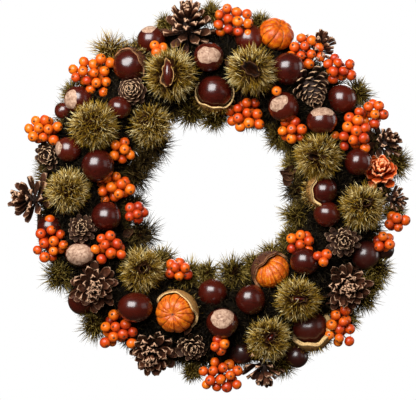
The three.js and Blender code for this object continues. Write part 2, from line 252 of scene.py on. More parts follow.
def tube(path, radii, sides, mat=0, tone=0.5):
    """A closed round tube along a list of points."""
    path = np.asarray(path, float)
    radii = np.broadcast_to(radii, len(path))
    tangents = unit(np.gradient(path, axis=0))
    normal = unit(np.cross(tangents[0], ASKEW))
    angles = circle(sides)
    rings = []
    for point, tangent, radius in zip(path, tangents, radii):
        normal = unit(normal - tangent * (normal @ tangent))
        other = np.cross(tangent, normal)
        rings.append(point + radius * (np.outer(np.cos(angles), normal)
                                       + np.outer(np.sin(angles), other)))
    verts = np.vstack(rings + [path[:1], path[-1:]])
    body = grid_faces(len(path), sides)
    first = np.arange(sides)
    last = first + (len(path) - 1) * sides
    ends = len(path) * sides
    caps = np.vstack([fan(first, ends, flip=True), fan(last, ends + 1)])
    along = np.concatenate([np.repeat(np.linspace(0, 1, len(path)), sides), [0, 1]])
    return Shape(verts, [body, caps], along, tone, mat)


def bristles(roots, heads, lengths, thickness, curl, rng, mat=0, tone=None):
    """Thin tapered needles, bent a little, one for each root that has room."""
    rings = sides = 3
    heads = unit(heads)
    lengths = np.broadcast_to(lengths, len(roots))[:, None]
    shade = rng.random(len(roots)) if tone is None else tone
    helper = np.where(np.abs(heads[:, 2:]) < 0.9, [[0, 0, 1.0]], [[1.0, 0, 0]])
    side = unit(np.cross(heads, helper))
    up = np.cross(heads, side)
    sway = rng.normal(0, curl, (2, len(roots), 1))
    bend = side * sway[0] + up * sway[1]
    tips = roots + lengths * (heads + bend)
    clear = has_room(roots) & has_room(tips) & has_room((roots + tips) / 2)
    roots, heads, lengths, shade, side, up, bend, tips = (
        values[clear] for values in (roots, heads, lengths, shade, side, up, bend, tips))
    rows = []
    for share in np.arange(rings) / rings:
        centre = roots + lengths * (heads * share + bend * share ** 2)
        width = thickness * (1 - 0.6 * share)
        rows += [centre + width * (math.cos(angle) * side + math.sin(angle) * up)
                 for angle in circle(sides)]
    rows.append(tips)
    each = len(rows)
    top_ring = np.arange(each - 1 - sides, each - 1)
    needle = [grid_faces(rings, sides), np.vstack([fan(top_ring, each - 1), [2, 1, 0]])]
    starts = np.arange(len(roots))[:, None, None] * each
    faces = [(part[None] + starts).reshape(-1, part.shape[1]) for part in needle]
    along = np.tile(np.append(np.repeat(np.arange(rings) / rings, sides), 1.0), len(roots))
    return Shape(np.stack(rows, axis=1), faces, along, np.repeat(shade, each), mat)


def piece(name, shapes, looks, replaces=(), body=WREATH):
    """One Blender object from several shapes; each shape's mat picks one of the looks."""
    mesh = bpy.data.meshes.new(name)
    offset = 0
    loops, sizes, mats = [], [], []
    for shape in shapes:
        for faces in shape.faces:
            loops.append((faces + offset).ravel())
            sizes.append(np.full(len(faces), faces.shape[1]))
            mats.append(np.full(len(faces), shape.mat))
        offset += len(shape.verts)
    loops, sizes, mats = map(np.concatenate, (loops, sizes, mats))
    mesh.vertices.add(offset)
    mesh.vertices.foreach_set("co", np.vstack([s.verts for s in shapes]).ravel())
    mesh.loops.add(len(loops))
    mesh.loops.foreach_set("vertex_index", loops)
    mesh.polygons.add(len(sizes))
    mesh.polygons.foreach_set("loop_start", np.cumsum(sizes) - sizes)
    mesh.polygons.foreach_set("material_index", mats)
    mesh.polygons.foreach_set("use_smooth", np.ones(len(sizes), bool))
    for key in ("along", "tone"):
        values = np.concatenate([getattr(s, key) for s in shapes]).astype(np.float32)
        mesh.attributes.new(key, "FLOAT", "POINT").data.foreach_set("value", values)
    mesh.update(calc_edges=True)
    mesh.validate()
    for look in looks:
        mesh.materials.append(look)
    made = bpy.data.objects.new(name, mesh)
    bpy.context.scene.collection.objects.link(made)
    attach(made, body)
    if replaces:
        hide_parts(*replaces)


# ---- materials ----
def colour(code):
    """Scene-linear colour from a hex code such as 8a7a2a."""
    channels = [int(code[i:i + 2], 16) / 255 for i in (0, 2, 4)]
    linear = [c / 12.92 if c <= 0.04045 else ((c + 0.055) / 1.055) ** 2.4 for c in channels]
    return (*linear, 1.0)


class Look:
    """A Principled material with small helpers for its procedural inputs."""

    def __init__(self, name, **settings):
        self.material = bpy.data.materials.new(name)
        self.material.use_nodes = True
        self.tree = self.material.node_tree
        self.shader = self.tree.nodes["Principled BSDF"]
        for key, value in settings.items():
            self.shader.inputs[key.replace("_", " ")].default_value = value

    def node(self, kind, links=(), **values):
        """A new node, with an output, a colour code or a value for each socket in links."""
        made = self.tree.nodes.new("ShaderNode" + kind)
        for key, value in values.items():
            setattr(made, key, value)
        for socket, source in links:
            if isinstance(source, bpy.types.NodeSocket):
                self.tree.links.new(source, made.inputs[socket])
            else:
                plain = colour(source) if isinstance(source, str) else source
                made.inputs[socket].default_value = plain
        return made

    def value(self, name):
        return self.node("Attribute", attribute_name=name).outputs["Fac"]

    def noise(self, scale, detail, distortion=0.0, stretch=(1, 1, 1)):
        place = self.node("TexCoord").outputs["Object"]
        mapped = self.node("Mapping", [("Vector", place), ("Scale", stretch)])
        return self.node("TexNoise", [
            ("Vector", mapped.outputs[0]), ("Scale", scale), ("Detail", detail),
            ("Distortion", distortion)]).outputs["Fac"]

    def cells(self, scale):
        place = self.node("TexCoord").outputs["Object"]
        return self.node("TexVoronoi", [("Vector", place), ("Scale", scale)]).outputs["Distance"]

    def ramp(self, factor, stops):
        made = self.node("ValToRGB", [("Fac", factor)])
        elements = made.color_ramp.elements
        while len(elements) < len(stops):
            elements.new(0.5)
        for element, (position, code) in zip(elements, stops):
            element.position = position
            element.color = colour(code)
        return made.outputs["Color"]

    def math(self, operation, a, b=0.0):
        return self.node("Math", [(0, a), (1, b)], operation=operation).outputs[0]

    def fit(self, value, low, high, to_low=0.0, to_high=1.0):
        return self.node("MapRange", [
            ("Value", value), ("From Min", low), ("From Max", high),
            ("To Min", to_low), ("To Max", to_high)]).outputs["Result"]

    def mix(self, factor, a, b):
        """Colour mix by socket position, since the Mix node repeats its socket names."""
        return self.node("Mix", [(0, factor), (6, a), (7, b)], data_type="RGBA").outputs[2]

    def paint(self, source):
        self.tree.links.new(source, self.shader.inputs["Base Color"])

    def rough(self, source):
        self.tree.links.new(source, self.shader.inputs["Roughness"])

    def done(self, paint, height, distance, strength=1.0):
        """The finished material: its colour, and a bump of that distance in metres."""
        self.paint(paint)
        bump = self.node("Bump", [
            ("Height", height), ("Distance", distance), ("Strength", strength)])
        self.tree.links.new(bump.outputs[0], self.shader.inputs["Normal"])
        return self.material


def spine_look(name, root, middle, tip, pale):
    """Spines that are dark at the root, partly their own colour and partly painted shade among the
    crowded bases, and pale at the tip, each with its own random tone.
    """
    look = Look(name, Roughness=0.6, Specular_IOR_Level=0.14)
    along = look.value("along")
    # The near-black root stops are painted shade where the spines crowd together, over the spines'
    # own darker base.
    base = look.ramp(along, [(0.0, root), (0.5, middle), (1.0, tip)])
    light = look.ramp(along, [(0.0, root), (0.4, tip), (0.8, pale)])
    shade = look.fit(look.value("tone"), 0.35, 1.0)
    patches = look.fit(look.noise(140, 3), 0.3, 0.7)
    both = look.math("MULTIPLY", shade, patches)
    paint = look.mix(look.fit(both, 0.1, 0.75), base, light)
    return look.done(paint, look.noise(2500, 3), 0.0001, 0.5)


def husk_core_look():
    look = Look("burr_core", Roughness=0.8, Specular_IOR_Level=0.02)
    # The near-black skin between the spine roots, and the darker ramp inside the split, are
    # painted shade.
    spots = look.fit(look.noise(900, 5), 0.35, 0.65)
    skin = look.mix(spots, "100502", "2a1608")
    inner = look.ramp(look.noise(600, 4), [(0.3, "060201"), (0.7, "240e05")])
    paint = look.mix(look.value("along"), skin, inner)
    return look.done(paint, look.noise(1500, 4), 0.0004)


def conker_look(name, dark, light, roughness):
    look = Look(name, Roughness=roughness, Coat_Weight=0.9, Coat_Roughness=0.22,
                Specular_IOR_Level=0.16)
    grain = look.noise(60, 6, 1.6, (1.0, 1.0, 3.2))
    tone = look.ramp(grain, [(0.25, dark), (0.55, light), (0.8, dark)])
    shade = look.fit(look.value("tone"), 0.0, 1.0, 0.0, 0.55)
    paint = look.mix(shade, tone, "4f1508")
    look.rough(look.fit(look.noise(300, 5), 0.3, 0.7, roughness * 0.7, roughness * 1.4))
    return look.done(paint, look.noise(400, 4, 0.5), 0.00012, 0.35)


def scar_look():
    look = Look("conker_scar", Roughness=0.75)
    mottle = look.ramp(look.noise(320, 7, 0.8), [
        (0.28, "634534"), (0.45, "8f6e58"), (0.6, "ab8b74"), (0.8, "ccb09a")])
    edge = look.fit(look.value("along"), 0.8, 1.0)
    paint = look.mix(edge, mottle, "8a5c40")
    return look.done(paint, look.noise(700, 6), 0.0005, 0.8)


def scale_look(name, deep, body, rim, fleck):
    """Cone scales: near black near the core as painted shade between the scales, woody along, with
    a paler rim that is partly their own colour and partly painted highlight.
    """
    look = Look(name, Roughness=0.7, Specular_IOR_Level=0.2)
    streaks = look.noise(420, 6, 0.6)
    # The deep stops near the core are painted shade; the rim stop is partly the scale's own paler
    # edge and partly painted highlight.
    wood = look.ramp(look.value("along"), [
        (0.0, deep), (0.28, deep), (0.55, body), (0.86, body), (1.0, rim)])
    flecked = look.mix(look.fit(streaks, 0.45, 0.75, 0, 0.7), wood, fleck)
    shade = look.fit(look.value("tone"), 0.0, 1.0, 0.0, 0.45)
    paint = look.mix(shade, flecked, deep)
    look.rough(look.fit(streaks, 0.3, 0.7, 0.5, 0.85))
    return look.done(paint, look.noise(1100, 6, 0.4), 0.0004, 0.9)


def berry_look():
    look = Look("berry_skin", Roughness=0.36, Coat_Weight=0.2, Coat_Roughness=0.22,
                Specular_IOR_Level=0.3, Subsurface_Weight=0.05, Subsurface_Scale=0.002)
    # The tone ramp holds each berry's own redness and, towards dark red, the painted shade on its
    # side away from the calyx.
    skin = look.ramp(look.value("tone"), [
        (0.0, "d66a0a"), (0.35, "be4405"), (0.7, "9a2203"), (1.0, "640a02")])
    reddening = look.fit(look.noise(220, 4), 0.4, 0.7, 0.0, 0.5)
    warm = look.mix(reddening, skin, "b83004")
    pores = look.fit(look.cells(2600), 0.0, 0.35)
    dotted = look.mix(look.fit(pores, 0.0, 1.0, 0.25, 0.0), warm, "ffb45a")
    paint = look.mix(look.fit(look.value("along"), 0.75, 1.0), dotted, "5a1a08")
    return look.done(paint, look.noise(1600, 3), 0.0001, 0.4)


def twig_look(name, dark, light):
    look = Look(name, Roughness=0.8)
    paint = look.ramp(look.noise(500, 5), [(0.3, dark), (0.7, light)])
    return look.done(paint, look.noise(1500, 4), 0.0002)


def pumpkin_look():
    look = Look("pumpkin_skin", Roughness=0.45, Coat_Weight=0.2, Coat_Roughness=0.2,
                Specular_IOR_Level=0.2, Subsurface_Weight=0.05, Subsurface_Scale=0.003)
    skin = look.ramp(look.noise(260, 6, 0.5), [
        (0.25, "862800"), (0.5, "b24800"), (0.75, "d07806")])
    broken = look.fit(look.noise(500, 4), 0.3, 0.6, 0.1, 0.8)
    streaked = look.mix(look.math("MULTIPLY", look.value("tone"), broken), skin, "f4a848")
    # Dark brown in the creases is painted shade; at the stem end it is the pumpkin's own brown.
    paint = look.mix(look.value("along"), streaked, "4c1804")
    fine = look.math("ADD", look.noise(1500, 4), look.math("MULTIPLY", look.cells(1100), 0.8))
    return look.done(paint, fine, 0.00035, 0.5)


def rind_look(name, inner, rim, fleck):
    look = Look(name, Roughness=0.75, Specular_IOR_Level=0.12)
    fibres = look.noise(500, 6, 0.8, (1, 2.5, 1))
    base = look.ramp(look.value("along"), [(0.0, inner), (0.7, inner), (1.0, rim)])
    paint = look.mix(look.fit(fibres, 0.45, 0.7, 0, 0.8), base, fleck)
    return look.done(paint, fibres, 0.0006, 0.8)


def moss_look():
    """Near black under the decorations as painted shade, and a dry green brown of its own where it
    meets the straw.
    """
    look = Look("moss", Roughness=0.95, Specular_IOR_Level=0.05)
    grain = look.noise(220, 8, 0.8)
    # The near-black ramp is painted shade under the decorations.
    deep = look.ramp(grain, [(0.3, "040201"), (0.55, "0d0904"), (0.8, "1a150a")])
    edge = look.ramp(grain, [(0.3, "1a1206"), (0.5, "4a3c16"), (0.7, "7c6a30")])
    paint = look.mix(look.value("along"), deep, edge)
    return look.done(paint, look.noise(550, 8), 0.002)


def straw_look():
    look = Look("straw", Roughness=0.6, Sheen_Weight=0.1)
    tone = look.ramp(look.value("tone"), [
        (0.0, "6e5222"), (0.35, "a5823c"), (0.7, "c9a85c"), (1.0, "e4cf8e")])
    stain = look.fit(look.noise(90, 5), 0.5, 0.75, 0.0, 0.6)
    paint = look.mix(stain, tone, "5a4420")
    return look.done(paint, look.noise(1800, 4), 0.0002)


def wire_look():
    look = Look("wire", Metallic=0.9, Roughness=0.42)
    rust = look.fit(look.noise(260, 6), 0.55, 0.72)
    paint = look.mix(rust, "8b8f8c", "5b3a22")
    look.rough(look.fit(look.noise(700, 5), 0.3, 0.7, 0.3, 0.6))
    return look.done(paint, look.noise(1800, 3), 0.0001, 0.5)


SPINES = spine_look("burr_spines", "0c0301", "482c03", "b69026", "fff0b8")
GREEN_SPINES = spine_look("green_spines", "060200", "342504", "7c661a", "ccb468")
# A darker copy of the spines, used as painted shade on edge burrs in shaded places.
SHADE_PAINTED_SPINES = spine_look("shade_painted_spines", "060201", "1c1202", "44340c", "80683a")
NEEDLES = spine_look("needles", "080301", "241a05", "584616", "927c42")
# Near-black needles for the moss between the decorations: painted shade.
SHADE_PAINTED_NEEDLES = spine_look("shade_painted_needles", "020101", "0e0803", "261c0a", "40341a")
BURR_LIP = rind_look("burr_lip", "170b05", "4e3018", "120805")
PALE_LIP = rind_look("pale_burr_lip", "2a150a", "a8804e", "5a3a20")
CORE = husk_core_look()
CONKER = conker_look("conker_skin", "120201", "360904", 0.26)
DARK_CONKER = conker_look("dark_conker_skin", "0d0303", "1c0806", 0.45)
SCAR = scar_look()
CONE = scale_look("cone_scale", "0e0402", "48230f", "c8a080", "6c422a")
CLOSED_CONE = scale_look("closed_cone_scale", "0a0402", "3a2012", "d2ac86", "5c3c28")
DYED = scale_look("dyed_scale", "962404", "de5610", "ffb482", "f07c34")
CONE_CORE = twig_look("cone_core", "150b07", "3a2418")
BERRY = berry_look()
TWIG = twig_look("twig", "2c1710", "6a4630")
PUMPKIN = pumpkin_look()
RIND = rind_look("husk_rind", "946b38", "ceac76", "6e4c26")
DRY_LEAF = rind_look("dry_leaf", "3a2114", "6e4a30", "1c0d07")
DARK_RIND = rind_look("dark_husk_rind", "4e2c1c", "966a48", "2a140c")
MOSS = moss_look()
STRAW = straw_look()
TWINE = twig_look("twine", "6b5026", "a8874a")
WIRE = wire_look()


# ---- burrs ----
class Mouth:
    """Where a burr has split: its direction, half length, half width and tilt (degrees)."""

    def __init__(self, x, z, length, width, tilt, nut=True, lip=BURR_LIP):
        self.axis = unit([x, -1.0, z])
        self.turn = facing(self.axis, math.radians(tilt))
        self.length = length
        self.width = width
        self.nut = nut
        self.lip = lip

    def reach(self, directions):
        """0 at the middle of the split, 1 at its edge."""
        local = directions @ self.turn
        ahead = np.where(local[:, 2] > 0, 1.0, 1e6)
        return np.hypot(local[:, 0] / self.length, local[:, 1] / self.width) * ahead


def lips(mouth, low, high, rng):
    """The husk's split edge: a thin uneven wall round the opening."""
    columns = 56
    around = circle(columns)
    ragged = 1 + 0.1 * np.sin(3 * around + rng.uniform(0, 6)) + 0.06 * np.sin(
        8 * around + rng.uniform(0, 6))
    outline = 1 + 0.1 * np.sin(3 * around + 1) + 0.07 * np.sin(7 * around)

    def ring(radius, spread):
        reach = spread * outline
        local = points(mouth.length * reach * np.cos(around),
                       mouth.width * reach * np.sin(around), 1.0)
        return unit(local) @ mouth.turn.T * np.reshape(radius * np.ones(columns), (-1, 1))

    rows = [ring(low, 1.0), ring(high * ragged, 1.05), ring(high * ragged, 1.14), ring(low, 1.3)]
    along = np.repeat([0.0, 1.0, 1.0, 0.0], columns)
    faces = grid_faces(4, columns)
    return Shape(np.vstack(rows), [faces], along, 0.4, 3)


TUFT = 5  # spines in a tuft


def burr(name, centre, size, spine, rng, tufts, thickness, mouth=None, replaces=(), shaggy=1.0,
         core_share=0.56):
    """A burr: a knobbly core set with tufts of diverging spines, and perhaps a split."""
    core_size = core_share * size
    verts, faces = icosphere(5 if mouth else 4)
    radius = core_size * (1 + 0.05 * lumps(verts, 0.5, rng))
    inside = np.zeros(len(verts))
    if mouth:
        reach = mouth.reach(verts)
        dip = np.clip(1 - reach ** 2, 0, 1)
        radius = radius * (1 - 0.5 * dip)
        # inside marks the split, which the core material paints darker as painted shade.
        inside = np.clip(1.25 - reach, 0, 1)
    shapes = [Shape(verts * radius[:, None] + centre, [faces], inside, 0.5, 1)]

    steps = (np.arange(tufts) + 0.5) / tufts
    y = -1 + 1.8 * steps
    ring = np.sqrt(np.clip(1 - y * y, 0, 1))
    turn = np.arange(tufts) * GOLDEN
    normals = points(ring * np.cos(turn), y, ring * np.sin(turn))
    normals = unit(normals + rng.normal(0, 0.08, normals.shape))
    leaning = unit(normals + rng.normal(0, 0.28, normals.shape))
    tones = np.clip(0.5 + 0.35 * lumps(normals, 1.0, rng) + rng.normal(0, 0.2, tufts), 0, 1)
    reaches = 1 + 0.16 * lumps(normals, 1.2, rng) * shaggy
    normals, leaning = (np.repeat(n, TUFT, axis=0) for n in (normals, leaning))
    tones, reaches = (np.repeat(n, TUFT) for n in (tones, reaches))
    many = len(normals)
    heads = unit(leaning + rng.normal(0, 0.62, (many, 3)))
    roots = unit(normals + rng.normal(0, 0.075, (many, 3)))
    if mouth:
        reach = mouth.reach(roots)
        away = roots - mouth.axis * (roots @ mouth.axis)[:, None]
        heads = unit(heads + unit(away) * np.clip(1.5 - 0.5 * reach, 0, 0.9)[:, None])
        keep = reach > (1.15 if mouth.nut else 0.95)
    else:
        keep = np.ones(many, bool)
    lengths = (size * 1.16 - core_size) * rng.uniform(0.55, 1.15, many) * reaches
    tones = np.clip(tones + rng.normal(0, 0.22, many), 0, 1)
    shapes.append(bristles(centre + roots[keep] * core_size * 0.94, heads[keep], lengths[keep],
                           thickness, 0.16, rng, tone=tones[keep]))
    if mouth:
        edge = lips(mouth, core_size * 0.85, size * 0.7, rng)
        edge.verts += centre
        shapes.append(edge)
    if mouth and mouth.nut:
        nut, nut_faces = icosphere(4)
        reach = core_size * np.array([mouth.length, mouth.width * 1.05, 0.5])
        placed = (nut * reach) @ mouth.turn.T + centre + mouth.axis * core_size * 0.72
        shapes.append(Shape(placed, [nut_faces], 0.0, 0.6, 2))
    lip = mouth.lip if mouth else BURR_LIP
    piece(name, shapes, [spine, CORE, CONKER, lip], replaces)


MOUTHS = [  # direction x and z, half length and half width (shares of the core), tilt, nut, lip
    None,
    Mouth(-0.45, 0.4, 0.26, 0.1, 35, False),
    Mouth(-0.25, 0.0, 0.85, 0.32, 90, True, PALE_LIP),
    Mouth(0.05, 0.05, 0.18, 0.14, 0, False),
    Mouth(-0.05, 0.05, 0.62, 0.32, -40, False),
    Mouth(-0.3, 0.0, 0.5, 0.16, -10, False),
    Mouth(0.3, 0.3, 0.34, 0.18, 30, False),
    Mouth(0.2, 0.15, 0.3, 0.22, 20, False),
    Mouth(0.05, 0.05, 0.55, 0.19, 0),
    Mouth(0.1, 0.15, 0.4, 0.2, 50),
]
EDGE_BURRS = [  # bearing, distance and size
    [325, 177, 20], [307, 174, 13], [345, 179, 11], [16, 181, 13], [55, 181, 16],
    [80, 190, 17], [114, 183, 18], [124, 184, 17], [132, 183, 16], [242, 172, 19],
    [222, 174, 18], [186, 178, 11], [157, 183, 16], [347, 88, 17], [50, 92, 17],
    [86, 88, 17], [103, 89, 16], [134, 87, 16], [163, 81, 19], [196, 82, 15],
    [241, 81, 19], [285, 80, 19], [312, 77, 19], [27, 89, 14], [0, 183, 12],
    [264, 79, 14], [218, 82, 14], [70, 90, 14], [118, 91, 13], [148, 83, 14],
    [3, 80, 16], [183, 78, 13], [298, 76, 15], [95, 186, 12], [150, 178, 14],
    [71, 172, 15], [88, 173, 13], [119, 184, 15],
]


OVER_LOOP = 0  # the bearing of the burr that stands clear of the loop
SUNLIT = 325  # the bearing of the one golden edge burr


def add_burrs():
    rng = np.random.default_rng(11)
    for i, mouth in enumerate(MOUTHS, 1):
        node = f"burr_{i}"
        centre, size = held(node)
        burr(f"{node}_spiny", centre, size * 1.08, SPINES, rng, 255, 0.4 * MM, mouth, [node])
    for i, (bearing, radius, size) in enumerate(EDGE_BURRS, 1):
        # Edge burrs in shaded places take the darker spines as painted shade.
        shaded = (radius < 95 and 230 < bearing < 320) or (radius < 175 and 70 < bearing < 90)
        spine = SPINES if bearing == SUNLIT else SHADE_PAINTED_SPINES if shaded else GREEN_SPINES
        centre = seat(bearing, radius, size, 0.95 if bearing == OVER_LOOP else -0.1)
        burr(f"green_burr_{i}", centre, size * 1.14 * MM, spine, rng, 100, 0.42 * MM, shaggy=2.0,
             core_share=0.38)


# ---- conkers ----
def nut_surface(directions, radii, offsets):
    """Points of a slightly uneven nut in the given directions."""
    swell = 1 + 0.02 * np.sin(directions @ offsets[0] + 1.3) + 0.015 * np.sin(
        directions @ offsets[1])
    return directions * swell[:, None] * radii


def conker(name, centre, radii, rng, scar=None, look=CONKER, replaces=()):
    """A nut, with an optional scar: its direction, angular radius, lobes and tilt in degrees."""
    offsets = rng.normal(0, 2.2, (2, 3))
    verts, faces = icosphere(5)
    shapes = [Shape(nut_surface(verts, radii, offsets) + centre, [faces], 0.0, rng.random(), 0)]
    if scar:
        *axis, reach, lobes, tilt = scar
        rings, columns = 14, 56
        turn = facing(axis, math.radians(tilt))
        share = np.linspace(0, 1, rings)[:, None]
        around = circle(columns)
        edge = reach * (1 + lobes * np.cos(2 * around) + 0.05 * np.sin(3 * around + 1)
                        + 0.03 * np.sin(7 * around))
        directions = polar_points(share * edge, around) @ turn.T
        along = np.repeat(share, columns)
        rise = 1.012 - 0.045 * along ** 8
        rough = 1 + 0.008 * lumps(directions, 0.35, rng) * (1 - along ** 4)
        skin = nut_surface(directions, radii, offsets) * rise[:, None] * rough[:, None]
        shapes.append(Shape(skin + centre, [grid_faces(rings, columns)], along, 0.5, 1))
    piece(name, shapes, [look, SCAR], replaces)


CONKER_SCARS = {
    2: (-0.6, -0.8, -0.05, 0.8, 0.12, 60), 4: (0.0, -1.0, 0.12, 0.85, 0.22, 0),
    7: (-0.4, -0.85, 0.25, 0.72, 0.2, 40), 9: (0.0, -0.6, 0.75, 0.8, 0.3, 0),
    11: (-0.02, -1.0, 0.1, 1.35, 0.05, 0), 13: (0.0, -0.85, 0.42, 0.92, 0.08, 20),
}
CONKER_STRETCH = {
    1: (1.06, 1.0, 1.03), 6: (1.08, 1.0, 1.1), 8: (1.06, 1.0, 1.08), 9: (1.1, 1.0, 1.0),
    11: (1.15, 1.0, 0.9), 12: (1.1, 1.0, 0.94), 15: (1.12, 1.0, 1.05),
}
CONKER_SHIFT = {4: (0, 1), 7: (-2, 0), 8: (-2, 0), 12: (0, 1), 15: (-1, 2)}  # right and up, mm
DARK_CONKERS = (15,)
MORE_CONKERS = [  # bearing, distance, size, lift, scar
    [339, 168, 14, 0.9, (-0.2, -0.2, 1.0, 0.85, 0.2, 0)], [314, 127, 12, 0.35, None],
    [288, 150, 13, 0.45, (-0.9, -0.3, 0.1, 0.8, 0.1, 0)], [14, 163, 15, 0.45, None],
    [77, 151, 14, 0.5, None], [99, 117, 13.5, 0.6, None], [259, 165, 13, 0.6, None],
    [231, 167, 15, 0.1, None], [179, 97, 14.5, 0.6, None], [169, 161, 12, 0.4, None],
    [125, 114, 14.5, 0.6, None], [111, 166, 15, 0.7, None], [107, 182, 11, 0.4, None],
    [152, 183, 12, 0.5, None], [300, 172, 9, 0.3, None], [259, 107, 15, 0.6, None],
]
MORE_DARK = (10, 12, 13, 14)


def add_conkers():
    rng = np.random.default_rng(23)
    for i in range(1, 16):
        node = f"conker_{i}"
        centre, size = held(node)
        radii = np.array(CONKER_STRETCH.get(i, (1, 0.95, 0.98))) * size
        right, up = CONKER_SHIFT.get(i, (0, 0))
        centre = centre + mm(right, 0, up)
        look = DARK_CONKER if i in DARK_CONKERS else CONKER
        conker(f"{node}_nut", centre, radii, rng, CONKER_SCARS.get(i), look, [node])
    for i, (bearing, radius, size, lift, scar) in enumerate(MORE_CONKERS, 1):
        radii = np.array([1, 0.95, 0.97]) * size * MM
        look = DARK_CONKER if i in MORE_DARK else CONKER
        conker(f"loose_conker_{i}", seat(bearing, radius, size, lift), radii, rng, scar, look)


# ---- pine cones ----
@functools.lru_cache(maxsize=None)
def plate(curl, cup):
    """A closed spoon-shaped scale of unit length along Y, its upper side towards +Z."""
    columns, rows = 9, 12
    u, v = np.meshgrid(np.linspace(-1, 1, columns), np.linspace(0, 1, rows))
    belly = 0.3 + 0.7 * np.sin(np.clip(v / 0.78, 0, 1) * math.pi / 2) ** 1.6
    tip = np.sqrt(np.clip(1 - (np.clip(v - 0.74, 0, 1) / 0.27) ** 2, 0.03, 1))
    x = u * belly * tip
    bend = curl * v ** 2 + cup * (u * u) * v
    knob = 0.07 * np.exp(-(((v - 0.84) / 0.1) ** 2 + (u / 0.35) ** 2))
    thick = (0.04 + 0.09 * v ** 3) * (1 - 0.55 * u ** 4)
    rim = np.clip((np.maximum(np.abs(u), v) - 0.88) / 0.12, 0, 1) * np.clip((v - 0.5) / 0.3, 0, 1)
    # along runs from the scale's base, painted near black as shade between the scales, to the rim,
    # which is paler partly in its own colour and partly as painted highlight.
    along = 0.1 + 0.5 * v + 0.4 * rim
    verts = np.vstack([points(x, v, bend + thick + knob), points(x, v, bend - thick)])
    count = rows * columns
    faces = grid_faces(rows, columns, wrap=False)
    closed = np.vstack([faces, faces[:, ::-1] + count, wall(border(rows, columns), count)])
    return verts, closed, np.tile(along.ravel(), 2)


def pine_cone(name, centre, size, heading, rng, scales, splay, reach, width, curl, cup,
              look=CONE, slot="cone", replaces=(), height=(-0.5, 0.3), core=0.2, loose=1.0):
    """Scales set in a spiral on a spindle.

    splay is their angle from the tip and reach their length, each for the first and the last;
    height is the spindle's bottom and top.
    """
    turn = facing(heading, rng.uniform(0, math.pi))
    spindle, spindle_faces = icosphere(3)
    spindle = spindle * size * np.array([core, core, (height[1] - height[0]) * 0.55])
    spindle[:, 2] += size * (height[0] + height[1]) / 2
    shapes = [Shape(spindle @ turn.T + centre, [spindle_faces], 0.0, 0.5, 1)]
    verts, faces, along = plate(curl, cup)
    for k in range(scales):
        share = (k + 0.5) / scales
        angle = k * GOLDEN + rng.normal(0, 0.08 * loose)
        lean = math.radians(splay[0] + (splay[1] - splay[0]) * share ** 0.9
                            + rng.normal(0, 6 * loose))
        out = np.array([math.cos(angle), math.sin(angle), 0])
        axis = np.array([0, 0, 1.0])
        ahead = math.sin(lean) * out + math.cos(lean) * axis
        upper = math.sin(lean) * axis - math.cos(lean) * out
        root = out * size * core * 0.8 * (1 - 0.7 * share)
        root = root + axis * size * (height[0] + (height[1] - height[0]) * share)
        length = size * (reach[0] + (reach[1] - reach[0]) * share)
        length *= 1 + loose * rng.uniform(-0.14, 0.08)
        broad = size * width * (1 - 0.35 * share) * (1 + loose * rng.uniform(-0.12, 0.12))
        twist = rng.normal(0, 0.22 * loose)
        side = math.cos(twist) * np.cross(ahead, upper) + math.sin(twist) * upper
        turned = np.column_stack([side, ahead, np.cross(side, ahead)])
        local = verts * np.array([broad, length, length * 0.45])
        shapes.append(Shape((local @ turned.T + root) @ turn.T + centre, [faces], along,
                            rng.random() * 0.8, 0))
    piece(name, shapes, [look, CONE_CORE], replaces)


CLOSED = dict(scales=66, splay=(100, 22), reach=(0.62, 0.32), width=0.2, curl=0.4, cup=-0.12,
              look=CLOSED_CONE, height=(-0.66, 0.58), core=0.42, loose=0.25)
END_ON = dict(scales=56, splay=(98, 10), reach=(0.72, 0.42), width=0.23, curl=0.42, cup=-0.1,
              look=CLOSED_CONE, height=(-0.6, 0.42), core=0.34, loose=0.4)
KNOBBLY = dict(scales=50, splay=(106, 20), reach=(0.95, 0.5), width=0.19, curl=0.16, cup=0.2,
               look=CLOSED_CONE, loose=1.1)
ROSETTE = dict(scales=54, splay=(106, 12), reach=(1.04, 0.64), width=0.185, curl=0.2, cup=0.3,
               loose=1.15)
UPRIGHT = dict(scales=52, splay=(112, 8), reach=(1.04, 0.74), width=0.185, curl=0.16, cup=0.28,
               height=(-0.6, 0.4), loose=1.2)
RAGGED = dict(scales=38, splay=(106, 16), reach=(1.05, 0.7), width=0.18, curl=0.08, cup=0.24,
              loose=1.4)
DYED_KIND = dict(scales=38, splay=(94, 12), reach=(0.86, 0.6), width=0.25, curl=0.3, cup=0.3,
                 look=DYED, slot="dyed_cone")
CONE_KINDS = [  # heading, kind
    ((0.0, -0.75, 0.66), UPRIGHT), ((-0.15, -1, 0.05), END_ON), ((-0.65, -0.7, 0.1), RAGGED),
    ((0, -1, 0.1), KNOBBLY), ((0.1, -1, -0.15), ROSETTE), ((-0.1, -0.9, -0.3), ROSETTE),
    ((0, -1, 0.05), KNOBBLY), ((0.1, -1, 0.05), ROSETTE), ((0.25, -0.55, -0.8), CLOSED),
    ((0.5, -0.7, 0.3), RAGGED),
]
CONE_STRETCH = [1.18, 1.28, 1.15, 1.1, 1.12, 1.2, 1.15, 1.16, 1.42, 1.3]
CONE_SHIFT = {1: (-2, 1, 6), 6: (-4, 3, 0), 9: (-2, -2, 0)}  # right, up and forward, in mm
MORE_CONES = [  # bearing, distance, size, heading, kind
    [284, 168, 17, (-0.2, -1, 0.1), KNOBBLY], [187, 152, 17, (0.1, -1, -0.2), KNOBBLY],
    [36, 185, 19, (0.55, -0.3, 0.8), RAGGED], [91, 184, 15, (0.9, -0.4, -0.1), RAGGED],
    [163, 182, 21, (0.1, -0.6, -0.8), RAGGED],
]


